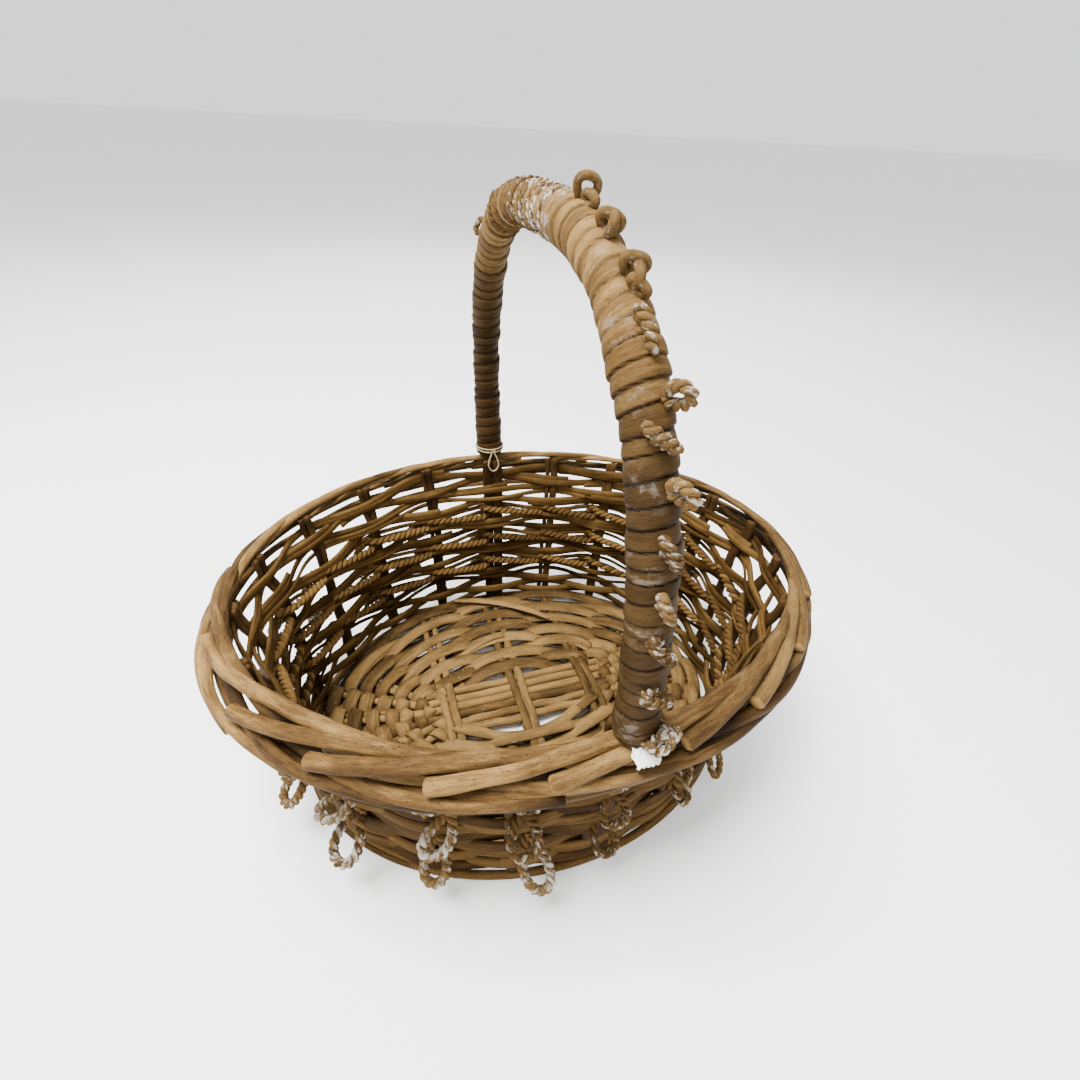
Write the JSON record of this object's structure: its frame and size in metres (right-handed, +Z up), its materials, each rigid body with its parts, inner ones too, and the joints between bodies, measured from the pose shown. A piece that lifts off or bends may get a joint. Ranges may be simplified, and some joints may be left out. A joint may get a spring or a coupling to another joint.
{
  "type": "fruit basket",
  "caption": "Oval woven basket with an open wall of split rods and twisted rope, a plaited border, rope loops and a tall cane-bound hoop handle.",
  "frame": {"origin": "middle of the underside of the foot ring, on the surface that the basket stands on", "axes": "+Z up; X runs along the basket's length; the hoop handle stands across it, in the plane of Y and Z"},
  "size_m": [0.3766, 0.3158, 0.3593],
  "materials": {
    "willow_rod": "satin, bronze-tan",
    "floor_stick": "satin, tan",
    "floor_strip": "satin split willow, tan",
    "stake": "satin, dark brown",
    "weaver": "satin split willow, brown",
    "wall_rope": "twisted, brown",
    "loop_rope": "twisted, tan and off-white",
    "border_rod": "satin, golden tan",
    "handle_cane": "satin flat cane, tan",
    "pale_string": "thin, cream",
    "clear_tape": "thin, cloudy, off-white"
  },
  "bodies": {
    "root": {"foot_ring": "willow_rod", "base_cross_sticks": "floor_stick", "base_long_sticks": "floor_stick", "base_strip_row_1": "floor_strip", "base_strip_row_2": "floor_strip", "base_strip_row_3": "floor_strip", "base_strip_row_4": "floor_strip", "base_strip_row_5": "floor_strip", "base_strip_row_6": "floor_strip", "loose_base_strip": "floor_strip", "stakes": "stake", "wall_row_1": "weaver", "wall_row_2": "weaver", "wall_row_3": "weaver", "wall_row_4": "weaver", "wall_row_5": "weaver", "wall_row_6": "weaver", "wall_row_7": "weaver", "wall_row_8": "weaver", "wall_row_9": "weaver", "wall_row_10": "weaver", "wall_row_11": "weaver", "wall_row_12": "weaver", "rope_course_1": "wall_rope", "rope_course_2": "wall_rope", "rope_course_3": "wall_rope", "rope_loops_1": "loop_rope", "rope_loops_2": "loop_rope", "rope_loops_3": "loop_rope", "border_plait_1": "border_rod", "border_plait_2": "border_rod", "border_plait_3": "border_rod", "border_follow_rod": "border_rod", "handle_hoop": "stake", "handle_leg_laths": "stake", "handle_binding": "handle_cane", "handle_crown_rope": "loop_rope", "handle_loops": "loop_rope", "handle_foot_knot": "loop_rope", "string_wrap": "pale_string", "hanging_string": "pale_string", "tape_scrap": "clear_tape"}
  },
  "joints": []
}
